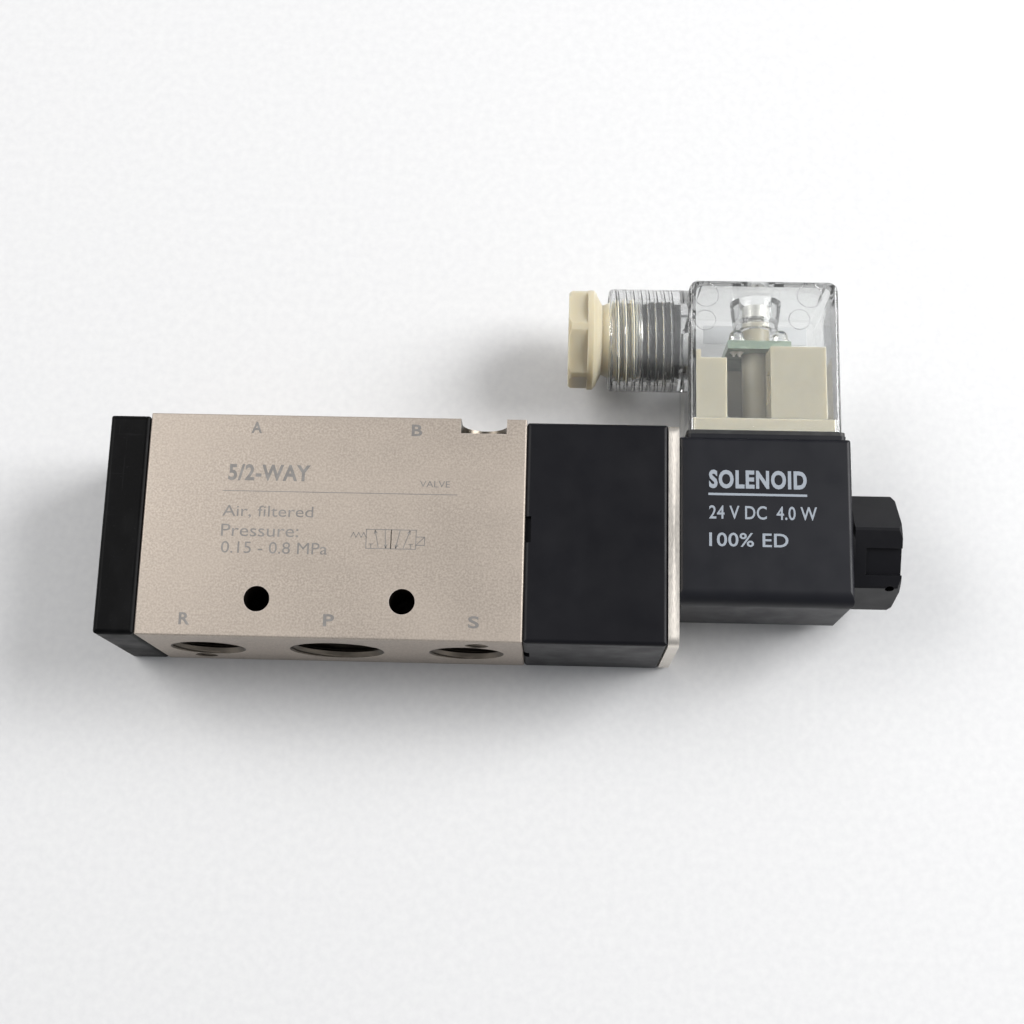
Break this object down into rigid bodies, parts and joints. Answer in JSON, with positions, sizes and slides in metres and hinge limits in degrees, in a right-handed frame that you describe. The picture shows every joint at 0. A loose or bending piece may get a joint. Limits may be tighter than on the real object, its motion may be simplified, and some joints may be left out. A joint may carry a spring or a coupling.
{
  "type": "solenoid directional valve",
  "caption": "Pneumatic spool valve with five threaded ports, spring return, a solenoid coil and a clear plug-in connector.",
  "frame": {"origin": "midway between the two mounting holes, on the rear mounting face", "axes": "+X along the spool towards the coil, +Y towards the outlet ports and the plug, +Z out of the label face along the mounting holes"},
  "size_m": [0.1406, 0.0696, 0.027],
  "materials": {
    "anodised_body": "fine sand-blasted, champagne-nickel anodised",
    "black_cap": "matte black with faint rub marks",
    "black_block": "smooth satin black moulding",
    "black_coil": "blue-black satin moulded resin",
    "black_nut": "satin black moulding",
    "nickel_plate": "nickel plated, brushed",
    "zinc_screw": "zinc plated",
    "spring_steel": "bright wire",
    "spool_alloy": "hard anodised and polished",
    "piston_polymer": "acetal",
    "seal_rubber": "black nitrile",
    "brass": "turned, clean",
    "stainless": "turned stainless",
    "frame_steel": "zinc plated sheet",
    "bobbin_nylon": "natural glass-filled nylon",
    "winding": "enamelled copper wire",
    "tinned_blade": "tinned",
    "ivory_nylon": "ivory nylon",
    "board": "green lacquer on glass epoxy",
    "lamp": "clear epoxy",
    "component": "moulded epoxy",
    "clear_housing": "clear polycarbonate"
  },
  "bodies": {
    "valve": {"valve_body": "anodised_body", "end_cap": "black_cap", "end_cap_gasket": "seal_rubber", "end_cap_screws": "zinc_screw", "return_spring": "spring_steel", "pilot_block": "black_block", "pilot_gasket": "seal_rubber", "orifice_seat": "brass", "pilot_screws": "zinc_screw", "override_spring": "spring_steel", "override_pin": "zinc_screw", "fixed_plate": "nickel_plate", "plate_screws": "zinc_screw", "armature_tube": "stainless", "tube_seal": "seal_rubber", "fixed_core": "stainless", "armature_spring": "spring_steel"},
    "spool_set": {"spool": "spool_alloy", "spool_seals": "seal_rubber", "piston": "piston_polymer", "piston_seal": "seal_rubber", "piston_wear_ring": "piston_polymer"},
    "armature_set": {"armature": "stainless", "armature_seal": "seal_rubber"},
    "override_slider": {"override_seal": "seal_rubber"},
    "override": {"override_button": "brass"},
    "coil": {"coil_shell": "black_coil", "coil_frame": "frame_steel", "coil_bobbin": "bobbin_nylon", "coil_winding": "winding", "power_terminals": "tinned_blade", "earth_terminal": "tinned_blade", "screw_insert": "brass"},
    "plug": {"connector_gasket": "seal_rubber", "terminal_block": "ivory_nylon", "terminal_sockets": "brass", "terminal_screws": "zinc_screw", "led_board": "board", "leds": "lamp", "board_components": "component", "connector_housing": "clear_housing", "gland_grommet": "seal_rubber"},
    "gland_slider": {"gland_washer": "zinc_screw"},
    "gland": {"gland_nut": "ivory_nylon"},
    "nut_slider": {"nut_seal": "seal_rubber"},
    "nut": {"coil_nut": "black_nut"},
    "screw_slider": {"screw_washer": "zinc_screw"},
    "screw": {"connector_screw": "zinc_screw"}
  },
  "joints": [
    {"name": "spool_slide", "type": "slide", "parent": "valve", "child": "spool_set", "axis": [-1, 0, 0], "range_m": [0, 0.0045], "stiffness_N_per_m": 1500, "springref_m": -0.004, "deforming": ["return_spring"]},
    {"name": "armature_slide", "type": "slide", "parent": "valve", "child": "armature_set", "axis": [1, 0, 0], "range_m": [0, 0.0012], "stiffness_N_per_m": 800, "springref_m": -0.002, "deforming": ["armature_spring"]},
    {"name": "override_press", "type": "slide", "parent": "valve", "child": "override_slider", "axis": [0, -1, 0], "range_m": [0, 0.0015], "stiffness_N_per_m": 1200, "springref_m": -0.001, "deforming": ["override_spring"]},
    {"name": "override_turn", "type": "hinge", "parent": "override_slider", "child": "override", "pos_m": [0.0515, 0.026, 0.0135], "axis": [0, -1, 0], "range_deg": [0, 90]},
    {"name": "coil_turn", "type": "hinge", "parent": "valve", "child": "coil", "pos_m": [0.07575, 0.0133, 0.0135], "axis": [1, 0, 0], "continuous": true},
    {"name": "plug_lift", "type": "slide", "parent": "coil", "child": "plug", "axis": [0, 1, 0], "range_m": [0, 0.012]},
    {"name": "gland_travel", "type": "slide", "parent": "plug", "child": "gland_slider", "axis": [1, 0, 0], "range_m": [-0.00282, 0.00212], "deforming": ["gland_grommet"]},
    {"name": "gland_turn", "type": "hinge", "parent": "gland_slider", "child": "gland", "pos_m": [0.045, 0.0533, 0.0135], "axis": [1, 0, 0], "range_deg": [-720, 540]},
    {"name": "nut_travel", "type": "slide", "parent": "valve", "child": "nut_slider", "axis": [1, 0, 0], "range_m": [0, 0.005]},
    {"name": "nut_turn", "type": "hinge", "parent": "nut_slider", "child": "nut", "pos_m": [0.095, 0.0133, 0.0135], "axis": [1, 0, 0], "range_deg": [0, 1800]},
    {"name": "screw_travel", "type": "slide", "parent": "plug", "child": "screw_slider", "axis": [0, 1, 0], "range_m": [0, 0.002]},
    {"name": "screw_turn", "type": "hinge", "parent": "screw_slider", "child": "screw", "pos_m": [0.07575, 0.05, 0.0135], "axis": [0, 1, 0], "range_deg": [0, 1440]}
  ],
  "couplings": [
    {"joint": "gland_turn", "follows": "gland_travel", "rad_per_m": 4453},
    {"joint": "nut_turn", "follows": "nut_travel", "rad_per_m": 6283.2},
    {"joint": "screw_turn", "follows": "screw_travel", "rad_per_m": 12566}
  ]
}
